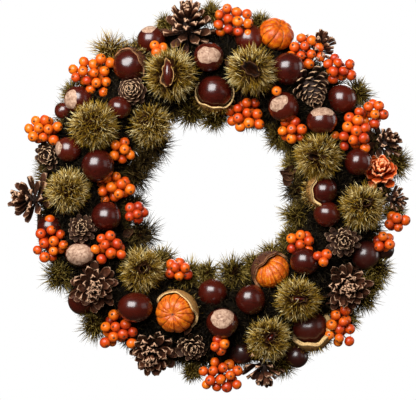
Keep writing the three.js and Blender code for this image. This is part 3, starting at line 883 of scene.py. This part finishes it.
def add_cones():
    rng = np.random.default_rng(37)
    for i, (heading, kind) in enumerate(CONE_KINDS, 1):
        node = f"pine_cone_{i}"
        centre, size = held(node)
        right, up, ahead = CONE_SHIFT.get(i, (0, 0, 0))
        centre = centre + mm(right, -ahead, up)
        pine_cone(f"{node}_scales", centre, size * CONE_STRETCH[i - 1], heading, rng,
                  replaces=[node], **kind)
    for i, (bearing, radius, size, heading, kind) in enumerate(MORE_CONES, 1):
        centre = seat(bearing, radius, size, 0.35)
        pine_cone(f"small_cone_{i}", centre, size * MM, heading, rng, **kind)
    centre, size = held("dyed_cone")
    pine_cone("dyed_cone_petals", centre + mm(-3, 0, 1), size * 1.42, (0.05, -0.85, 0.5), rng,
              replaces=["dyed_cone"], **DYED_KIND)


# ---- berries ----
BERRY_RADIUS = 5.4 * MM
CAD_SPRIGS = 11
DRIED_SPRIG = 25
SPRIGS = [  # bearing, distance, half width, half height, berries; the CAD sprigs come first
    [316, 171, 26, 25, 20], [292, 179, 22, 19, 14], [7, 177, 27, 22, 20],
    [32, 172, 25, 20, 16], [66, 158, 24, 24, 19], [23, 88, 25, 19, 16],
    [275, 98, 21, 18, 15], [254, 167, 19, 26, 17], [214, 163, 25, 24, 18],
    [177, 180, 26, 19, 17], [136, 184, 18, 27, 16],
    [340, 156, 12, 10, 4], [45, 181, 21, 15, 12], [63, 182, 17, 17, 10], [51, 104, 17, 15, 9],
    [297, 100, 15, 15, 8], [243, 114, 20, 17, 12], [203, 80, 18, 13, 9], [177, 149, 12, 11, 6],
    [117, 102, 21, 13, 10], [119, 127, 11, 10, 4], [98, 188, 15, 12, 7], [105, 180, 14, 13, 6],
    [32, 123, 8, 6, 2], [258, 77, 12, 14, 8],
]


def berry(centre, calyx, tone, rng):
    """A berry whose dried flower end faces calyx."""
    verts, faces = icosphere(4)
    turn = facing(calyx, rng.uniform(0, math.pi))
    height = verts[:, 2]
    dimple = np.clip((height - 0.93) / 0.07, 0, 1)
    size = BERRY_RADIUS * rng.uniform(0.88, 1.06)
    local = verts * np.array([1, 1, 0.94]) * (1 - 0.07 * dimple)[:, None] * size
    # Darker red away from the calyx, which mostly faces front: painted shade, on top of each
    # berry's own redness.
    reddening = np.clip(tone - 0.3 * height, 0, 1)
    skin = Shape(local @ turn.T + centre, [faces], np.clip((height - 0.86) / 0.13, 0, 1), reddening, 0)
    corner_count = 10
    ring = np.arange(corner_count)
    angles = circle(corner_count)
    inward = ring % 2
    reach = np.where(inward, 0.14, 0.3)
    star = points(reach * np.cos(angles), reach * np.sin(angles), np.where(inward, 0.9, 0.93))
    star = np.vstack([star, [0, 0, 0.86], [0, 0, 0.8]]) * size
    closed = [fan(ring, corner_count), fan(ring, corner_count + 1, flip=True)]
    return [skin, Shape(star @ turn.T + centre, closed, 1.0, 0.1, 1)]


def scatter(count, half, rng):
    """Places in an ellipsoid that keep a berry's width apart where they can."""
    places = unit(rng.normal(size=(count, 3))) * rng.uniform(0.2, 1, (count, 1)) * half
    apart = 1.94 * BERRY_RADIUS
    lobe = rng.uniform(0, 2 * math.pi)
    for _ in range(60):
        gaps = places[:, None] - places[None]
        far = np.linalg.norm(gaps, axis=2) + 1e-9
        push = np.clip(apart - far, 0, None) / far * 0.45
        np.fill_diagonal(push, 0)
        places = places + (gaps * push[:, :, None]).sum(axis=1)
        reach = np.linalg.norm(places / half, axis=1) * (1 + 0.15 * np.sin(
            3 * np.arctan2(places[:, 2], places[:, 0]) + lobe))
        places = places / np.maximum(reach, 1)[:, None]
    return places


def sprig(name, centre, half, count, rng, redness, replaces=()):
    """A bunch of berries, each with a stalk that bends back to one root."""
    shapes = []
    root = centre + np.array([0, half[1] + 14 * MM, 0])
    for offset in scatter(count, half, rng):
        place = centre + offset
        calyx = unit(offset / half.max() * 0.8 + rng.normal(0, 0.45, 3) + FRONT * 0.6)
        tone = float(np.clip(redness + rng.normal(0, 0.2), 0, 1))
        shapes += berry(place, calyx, tone, rng)
        behind = place - calyx * BERRY_RADIUS * 0.9
        middle = (behind + root) / 2 + rng.normal(0, 1.5 * MM, 3)
        steps = np.linspace(0, 1, 9)[:, None]
        path = (1 - steps) ** 2 * behind + 2 * steps * (1 - steps) * middle + steps ** 2 * root
        shapes.append(tube(path, 0.55 * MM, 6, 1, 0.4))
    piece(name, shapes, [BERRY, TWIG], replaces)


def add_sprigs():
    rng = np.random.default_rng(53)
    for i, (bearing, radius, wide, tall, count) in enumerate(SPRIGS, 1):
        packed = i <= CAD_SPRIGS
        centre = seat(bearing, radius, 1, 15)
        half = mm(wide, 12, tall) - BERRY_RADIUS
        redder = centre[0] > CENTRE[0] - 50 * MM or centre[2] < CENTRE[2]
        redness = 0.9 if i == DRIED_SPRIG else 0.5 if redder else 0.3
        name = f"berry_sprig_{i}" if packed else f"small_sprig_{i}"
        sprig(f"{name}_bunch", centre, half, count, rng, redness, [name] if packed else ())


# ---- mini pumpkins ----
def pumpkin(name, centre, size, heading, ribs, streaky, rng, replaces):
    """Ribs and pale streaks run from the stem end, which faces heading, round to the back."""
    rows, columns = 64, 384
    polar = np.linspace(0, math.pi, rows)[:, None]
    around = circle(columns)
    curved = around + 0.14 * np.sin(2 * around + 1) + 0.08 * np.sin(5 * around) + 0.12 * polar
    phase = ribs * curved / (2 * math.pi)
    offset = np.abs(phase - np.round(phase)) * 2
    fade = np.clip(polar / 0.25, 0, 1) * np.sin(polar) ** 0.3
    crease = np.exp(-(offset / 0.08) ** 2) * fade
    rounding = (1 - (1 - offset) ** 2) * fade
    radius = 1 - 0.045 * (fade - rounding) - 0.035 * crease
    height = np.cos(polar) * (0.8 - 0.16 * np.exp(-(polar / 0.35) ** 2)) * radius
    local = polar_points(polar, around, radius, height)
    local *= (1 + 0.012 * lumps(local, 0.3, rng))[:, None] * size
    turn = facing(heading, rng.uniform(0, 1))
    middle = np.clip(1 - np.repeat(polar, columns) / 0.12, 0, 1)
    lines = np.sin(97 * curved + 1.5 * np.sin(3 * polar)) * np.sin(31 * curved + 2 * polar)
    streaks = streaky * np.clip((lines - 0.4) / 0.4, 0, 1).ravel()
    # along darkens the creases as painted shade, and the stem end in its own brown.
    skin = Shape(local @ turn.T + centre, [grid_faces(rows, columns)],
                 np.clip(crease.ravel() * 0.8 + middle, 0, 1), streaks, 0)
    stem_path = [centre + turn @ (np.array([0.01 * k, 0, 0.56 + 0.03 * k]) * size)
                 for k in range(4)]
    stem = tube(stem_path, np.array([1.5, 1.1, 0.9, 0.8]) * MM, 8, 1)
    piece(name, [skin, stem], [PUMPKIN, TWIG], replaces)


PUMPKINS = [  # heading, ribs, streaks, stretch
    ((0.3, -0.65, 0.6), 9, 0.25, 1.03), ((-0.2, -1, -0.05), 11, 0.8, 1.04),
    ((-0.5, -0.45, 0.75), 12, 0.9, 1.12),
]


def add_pumpkins():
    rng = np.random.default_rng(71)
    for i, (heading, ribs, streaky, stretch) in enumerate(PUMPKINS, 1):
        node = f"mini_pumpkin_{i}"
        centre, size = held(node)
        pumpkin(f"{node}_skin", centre, size * stretch, heading, ribs, streaky, rng, [node])


# ---- split husks ----
def husk(name, centre, size, heading, cover, thick, look, spiny, rng, replaces):
    """A rind bowl, open towards heading. cover is its angle from the back, in degrees."""
    rows, columns = 26, 96
    around = circle(columns)
    edge = math.radians(cover) * (1 + 0.07 * np.sin(3 * around + 0.7)
                                  + 0.03 * np.sin(8 * around))
    polar = np.linspace(0.05, 1, rows)[:, None] * edge

    bowl = polar_points(polar, around, height=-np.cos(polar))
    outer, inner = bowl * (size + thick * MM), bowl * size
    inner *= (1 + 0.01 * lumps(inner / size, 0.4, rng))[:, None]
    faces = grid_faces(rows, columns)
    count = rows * columns
    rim = wall(np.arange(count - columns, count), count)
    share = np.repeat(np.linspace(0, 1, rows) ** 6, columns)
    turn = facing(heading)
    shell = Shape(np.vstack([outer, inner]) @ turn.T + centre,
                  [faces, faces[:, ::-1] + count, rim], np.tile(share, 2), 0.5, 0)
    heads = unit(outer @ turn.T)
    chosen = rng.choice(count, spiny, replace=False)
    spines = bristles(outer[chosen] @ turn.T + centre,
                      unit(heads[chosen] + rng.normal(0, 0.3, (spiny, 3))),
                      rng.uniform(3, 7, spiny) * MM, 0.35 * MM, 0.1, rng, mat=1)
    piece(name, [shell, spines], [look, SPINES], replaces)


HUSKS = [  # name, what it holds, heading, cover (degrees), size, thickness (mm), look, spines
    ("husk_1", "conker_10", (0.75, -0.8, 0.1), 92, 1.12, 3.0, RIND, 420),
    ("husk_2", "conker_15", (-0.45, -0.85, 0.75), 92, 1.12, 4.5, RIND, 420),
    ("small_husk_1", "conker_1", (-0.7, -0.75, -0.45), 88, 1.08, 1.6, DARK_RIND, 300),
    ("small_husk_2", "conker_5", (0.1, -0.8, 0.6), 84, 1.08, 1.6, RIND, 420),
    ("small_husk_3", "mini_pumpkin_2", (-0.55, -0.75, -0.55), 78, 1.12, 2.4, RIND, 60),
    ("small_husk_4", "mini_pumpkin_3", (0.6, -0.75, -0.5), 88, 1.12, 2.6, DARK_RIND, 90),
]


def add_husks():
    rng = np.random.default_rng(83)
    for node, inside, heading, cover, stretch, thick, look, spiny in HUSKS:
        centre, size = held(inside)
        packed = node in frame["nodes"]
        husk(f"{node}_rind" if packed else node, centre, size * stretch, heading, cover, thick,
             look, spiny, rng, [node] if packed else ())


# ---- dry leaves ----
DRY_LEAVES = [  # bearing, distance, length, direction (degrees clockwise from up), curl
    [75, 80, 17, 300, 0.5], [72, 84, 15, 250, 0.8], [79, 78, 14, 330, 0.6],
    [3, 96, 13, 200, 0.6], [8, 134, 15, 150, 0.7], [246, 92, 14, 60, 0.7],
    [32, 150, 12, 60, 0.5], [297, 120, 14, 100, 0.7], [200, 112, 15, 20, 0.6],
    [92, 150, 15, 80, 0.6], [335, 134, 14, 30, 0.7], [190, 134, 13, 200, 0.6],
]


def dry_leaf(name, centre, length, direction, curl, rng):
    """A thin crumpled leaf, pointed at both ends, with a raised midrib."""
    rows, columns = 22, 13
    v, u = np.meshgrid(np.linspace(0, 1, rows), np.linspace(-1, 1, columns), indexing="ij")
    half = 0.3 * np.sin(math.pi * v ** 0.8) + 0.01
    across = u * half
    ripple = 0.05 * np.sin(11 * v + 3 * u + rng.uniform(0, 6)) * np.abs(u)
    height = curl * (0.35 * u * u * half * 3 + 0.5 * (v - 0.35) ** 2) + ripple
    height = height - 0.03 * np.exp(-(u / 0.12) ** 2)
    top = points(across, v - 0.4, height)
    under = top - [0, 0, 0.035]
    count = len(top)
    faces = grid_faces(rows, columns, wrap=False)
    angle = math.radians(direction)
    ahead = unit([math.sin(angle), -0.25, math.cos(angle)])
    side = unit(np.cross(ahead, FRONT))
    turn = np.column_stack([side, ahead, np.cross(side, ahead)])
    leaf = Shape((np.vstack([top, under]) * length) @ turn.T + centre,
                 [faces[:, ::-1], faces + count, wall(border(rows, columns), count)],
                 np.tile(np.abs(u).ravel(), 2), rng.random(), 0)
    piece(name, [leaf], [DRY_LEAF])


def add_leaves():
    rng = np.random.default_rng(131)
    for i, (bearing, radius, length, direction, curl) in enumerate(DRY_LEAVES, 1):
        centre = seat(bearing, radius, length, 0.45)
        dry_leaf(f"dry_leaf_{i}", centre, length * MM, direction, curl, rng)


# ---- moss, needles and ring ----
def section(share, half, depth):
    """Radius and depth of a point on a rounded front, from -1 inside to 1 outside."""
    angle = (1 - share) * math.pi / 2
    return RING_RADIUS + half * np.cos(angle), depth * np.sin(angle)


def ring_points(bearings, radii, depths):
    """Points by clock bearing (radians), distance from the ring's centre and depth."""
    return points(CENTRE[0] + radii * np.sin(bearings), BACK - depths,
                  CENTRE[2] + radii * np.cos(bearings))


MOSS_TUFTS = (3, 5500)  # pieces, and needles in each
OUTER_NEEDLES = 9000
INNER_NEEDLES = 6000
STRAWS = 620
TWINE_TURNS = 30


def add_moss():
    rng = np.random.default_rng(97)
    rows, columns = 30, 480
    share = np.repeat(np.linspace(-0.97, 0.97, rows), columns)
    bearings = np.tile(circle(columns), rows)
    radii, depths = section(share, MOSS_HALF, MOSS_DEPTH)
    skin = ring_points(bearings, radii, depths)
    outward = unit(skin - ring_points(bearings, RING_RADIUS, 0))
    skin += outward * (1.6 * MM * lumps(skin, 12 * MM, rng) - 1 * MM)[:, None]
    inside = skin - outward * 6 * MM
    count = len(skin)
    faces = grid_faces(rows, columns)
    walls = []
    for row, flip in ((0, 1), (rows - 1, -1)):
        edge = np.arange(columns) + row * columns
        follow = np.roll(edge, -1)
        walls.append(np.column_stack([follow, edge, edge + count, follow + count])[:, ::flip])
    # open_edge is 0 over the front, where the moss material paints shade, and 1 towards the back
    # edges, where the moss shows its own colour.
    open_edge = np.clip((np.abs(share) - 0.86) / 0.08, 0, 1)
    blanket = Shape(np.vstack([skin, inside]), [faces[:, ::-1], faces + count, *walls],
                    np.tile(open_edge, 2), 0.5)
    piece("moss_cover", [blanket], [MOSS], ["moss_blanket"])
    pieces, many = MOSS_TUFTS
    for k in range(pieces):
        share = rng.uniform(-1, 1, many)
        turn = rng.uniform(0, 2 * math.pi, many)
        radii, depths = section(share, MOSS_HALF - 1 * MM, MOSS_DEPTH - 1 * MM)
        roots = ring_points(turn, radii, depths)
        heads = unit(roots - ring_points(turn, RING_RADIUS, 0))
        heads = unit(heads + rng.normal(0, 0.7, heads.shape))
        tufts = bristles(roots, heads, rng.uniform(6, 15, many) * MM, 0.45 * MM, 0.2, rng)
        # The moss tufts take the near-black needles as painted shade.
        piece(f"moss_tufts_{k + 1}", [tufts], [SHADE_PAINTED_NEEDLES])


def fringe(name, node, edge, direction, many, longest, rng):
    """Needles that stick out of the ring's inner or outer edge."""
    turn = rng.uniform(0, 2 * math.pi, many)
    clump = np.sin(turn * 23 + 1) * np.sin(turn * 37 + 2)
    depths = rng.uniform(6 * MM, FRINGE_FRONT + 6 * MM, many)
    roots = ring_points(turn, edge, depths)
    radial = points(np.sin(turn), 0, np.cos(turn)) * direction
    spread = rng.normal(0, 0.5, (many, 3))
    heads = unit(radial + spread + FRONT * rng.uniform(-0.2, 0.5, (many, 1)))
    lengths = longest * rng.uniform(0.35, 1, many) * (0.75 + 0.25 * clump)
    needles = bristles(roots, heads, lengths, 0.5 * MM, 0.16, rng)
    piece(name, [needles], [NEEDLES], [node])


def add_fringes():
    rng = np.random.default_rng(101)
    inner_edge = RING_RADIUS - MOSS_HALF
    sunk = 3 * MM
    fringe("outer_needles", "outer_greenery", MOSS_OUTER - sunk, 1, OUTER_NEEDLES,
           FRINGE_OUTER - MOSS_OUTER, rng)
    fringe("inner_needles", "inner_greenery", inner_edge + sunk, -1, INNER_NEEDLES,
           inner_edge - FRINGE_INNER, rng)


def add_straw():
    rng = np.random.default_rng(113)
    rows, columns = 16, 240
    share = np.repeat(np.linspace(-1, 1, rows), columns)
    radii, depths = section(share, STRAW_OUTER - RING_RADIUS - 1 * MM, STRAW_DEPTH)
    front = ring_points(np.tile(circle(columns), rows), radii, np.maximum(depths, 2.4 * MM))
    faces = grid_faces(rows, columns)
    first = np.arange(columns)
    last = first + (rows - 1) * columns
    back = np.column_stack([np.roll(first, -1), first, last, np.roll(last, -1)])
    shapes = [Shape(front, [faces[:, ::-1], back], 0.0, 0.1)]
    groove = 5 * MM  # half the width left free for the wire hoop
    for _ in range(STRAWS):
        radius = rng.uniform(STRAW_INNER + 1 * MM, STRAW_OUTER - 1 * MM)
        if abs(radius - RING_RADIUS) < groove:
            continue
        span = rng.uniform(0.25, 0.9)
        angles = rng.uniform(0, 2 * math.pi) + np.linspace(0, span, 12)
        drift = rng.normal(0, 1.5 * MM) * np.linspace(-1, 1, 12)
        path = ring_points(angles, radius + drift, rng.uniform(1.3, 2.2) * MM)
        shapes.append(tube(path, rng.uniform(0.6, 1.0) * MM, 5, 0, rng.random()))
    for bearing in circle(TWINE_TURNS):
        steps = np.linspace(0, 1, 14)
        radii = STRAW_INNER - 1 * MM + steps * (STRAW_OUTER - STRAW_INNER + 2 * MM)
        depths = np.where((steps < 0.06) | (steps > 0.94), 4 * MM, 0.75 * MM)
        path = ring_points(bearing + steps * 0.07, radii, depths)
        shapes.append(tube(path, 0.7 * MM, 6, 1, 0.5))
    piece("straw_ring", shapes, [STRAW, TWINE], ["base_ring"])


# ---- wire parts ----
def arc(start, end, steps):
    return np.linspace(math.radians(start), math.radians(end), steps)


def ring_tube(centre, radius, wire, axis, steps):
    """A closed wire ring."""
    sides = 10
    angles = circle(steps)[:, None]
    around = circle(sides)
    reach = radius + wire * np.cos(around)
    verts = points(reach * np.cos(angles), reach * np.sin(angles), wire * np.sin(around))
    faces = grid_faces(steps + 1, sides) % (steps * sides)
    return Shape(verts @ facing(axis).T + centre, [faces])


def add_wire():
    low, high = corners("wire_hoop")
    wire = (high[1] - low[1]) / 2
    middle = (low + high) / 2
    hoop = ring_tube(middle, (high[0] - low[0]) / 2 - wire, wire, FRONT, 300)
    piece("hoop_wire", [hoop], [WIRE], ["wire_hoop"])
    for side in ("left", "right"):
        node = f"hanging_eye_{side}"
        low, high = corners(node)
        wire = (high[0] - low[0]) / 2 * 1.1
        outer = (high[1] - low[1]) / 2
        middle = (low + high) / 2
        eye_centre = np.array([middle[0], middle[1], high[2] - outer])
        eye = ring_tube(eye_centre, outer - wire, wire, (1, 0, 0), 48)
        shank = tube([np.array([middle[0], middle[1], z]) for z in
                      np.linspace(low[2], eye_centre[2] - outer + wire, 6)], wire, 10)
        piece(f"{node}_wire", [eye, shank], [WIRE], [node])
    low, high = corners("hanging_loop")
    wire = (high[1] - low[1]) / 2
    y = (low[1] + high[1]) / 2
    bottom, top = low[2] + wire, high[2] - wire
    end = high[0]
    half = end * 13 / 24  # the upper loop is narrower than its two feet
    corner = 3 * MM
    legs = [[end, bottom], [half + corner, bottom]]
    legs += [[half + corner - corner * math.sin(a), bottom + corner - corner * math.cos(a)]
             for a in arc(15, 90, 6)]
    shoulder = top - half
    legs += [[half * math.cos(a), shoulder + (top - shoulder) * math.sin(a)]
             for a in arc(0, 90, 16)]
    right = np.array(legs)
    left = right[-2::-1] * np.array([-1, 1])
    line = np.vstack([right, left])
    path = points(line[:, 0], y, line[:, 1])
    piece("loop_wire", [tube(path, wire, 12)], [WIRE], ["hanging_loop"], LOOP)


# ---- studio ----
FLOOR_HALF = 0.6
FLOOR_DROP = 1.6  # below the wreath, so that the view doesn't take in the floor
CAMERA_DISTANCE = 2.2
SEEN_WIDTH = 0.416
SENSOR = 36  # mm


def add_studio():
    scene = bpy.context.scene
    floor_mesh = bpy.data.meshes.new("floor")
    half, level = FLOOR_HALF, cad_low[2] - FLOOR_DROP
    floor_mesh.from_pydata([(-half, -half, level), (half, -half, level), (half, half, level),
                            (-half, half, level)], [], [(0, 1, 2, 3)])
    floor = bpy.data.objects.new("floor", floor_mesh)
    floor_look = Look("floor", Roughness=0.9)
    floor_look.paint(floor_look.ramp(floor_look.noise(3, 3), [(0.0, "e9e7e3"), (1.0, "f1f0ed")]))
    floor_mesh.materials.append(floor_look.material)
    scene.collection.objects.link(floor)
    floor.visible_glossy = False

    world = bpy.data.worlds.new("studio")
    scene.world = world
    world.use_nodes = True
    tree = world.node_tree
    soft = tree.nodes["Background"]
    soft.inputs["Color"].default_value = (1.0, 0.76, 0.55, 1)
    soft.inputs["Strength"].default_value = 0.06
    white = tree.nodes.new("ShaderNodeBackground")
    white.inputs["Color"].default_value = (1, 1, 1, 1)
    white.inputs["Strength"].default_value = 1.0
    path = tree.nodes.new("ShaderNodeLightPath")
    choose = tree.nodes.new("ShaderNodeMixShader")
    tree.links.new(path.outputs["Is Camera Ray"], choose.inputs[0])
    tree.links.new(soft.outputs[0], choose.inputs[1])
    tree.links.new(white.outputs[0], choose.inputs[2])
    tree.links.new(choose.outputs[0], tree.nodes["World Output"].inputs["Surface"])

    def softbox(name, offset, size, energy):
        """A light that faces the ring's centre; its offset and size are in metres."""
        light = bpy.data.lights.new(name, "AREA")
        light.shape = "RECTANGLE"
        light.size, light.size_y = size
        light.energy = energy
        made = bpy.data.objects.new(name, light)
        made.location = CENTRE + offset
        made.rotation_euler = Matrix(facing(offset).tolist()).to_euler()
        scene.collection.objects.link(made)

    softbox("key", (-0.5, -1.35, 0.75), (1.35, 1.15), 68)
    softbox("fill", (1.5, -1.0, 0.4), (0.8, 1.2), 3)
    softbox("side", (1.7, 0.25, 0.3), (0.8, 1.2), 9)
    softbox("back", (0.3, 1.4, 0.7), (1.3, 1.1), 26)

    camera_data = bpy.data.cameras.new("camera")
    camera = bpy.data.objects.new("camera", camera_data)
    camera_data.sensor_width = SENSOR
    camera_data.lens = SENSOR * CAMERA_DISTANCE / SEEN_WIDTH
    camera.location = CENTRE + mm(-3, 0, -4)
    camera.location[1] = BACK - MOSS_DEPTH - CAMERA_DISTANCE
    camera.rotation_euler = (math.pi / 2, 0, 0)
    scene.collection.objects.link(camera)
    scene.camera = camera


bpy.context.scene.view_settings.view_transform = "Standard"
add_studio()
add_straw()
add_wire()
add_moss()
add_fringes()
add_burrs()
add_conkers()
add_cones()
add_sprigs()
add_pumpkins()
add_husks()
add_leaves()
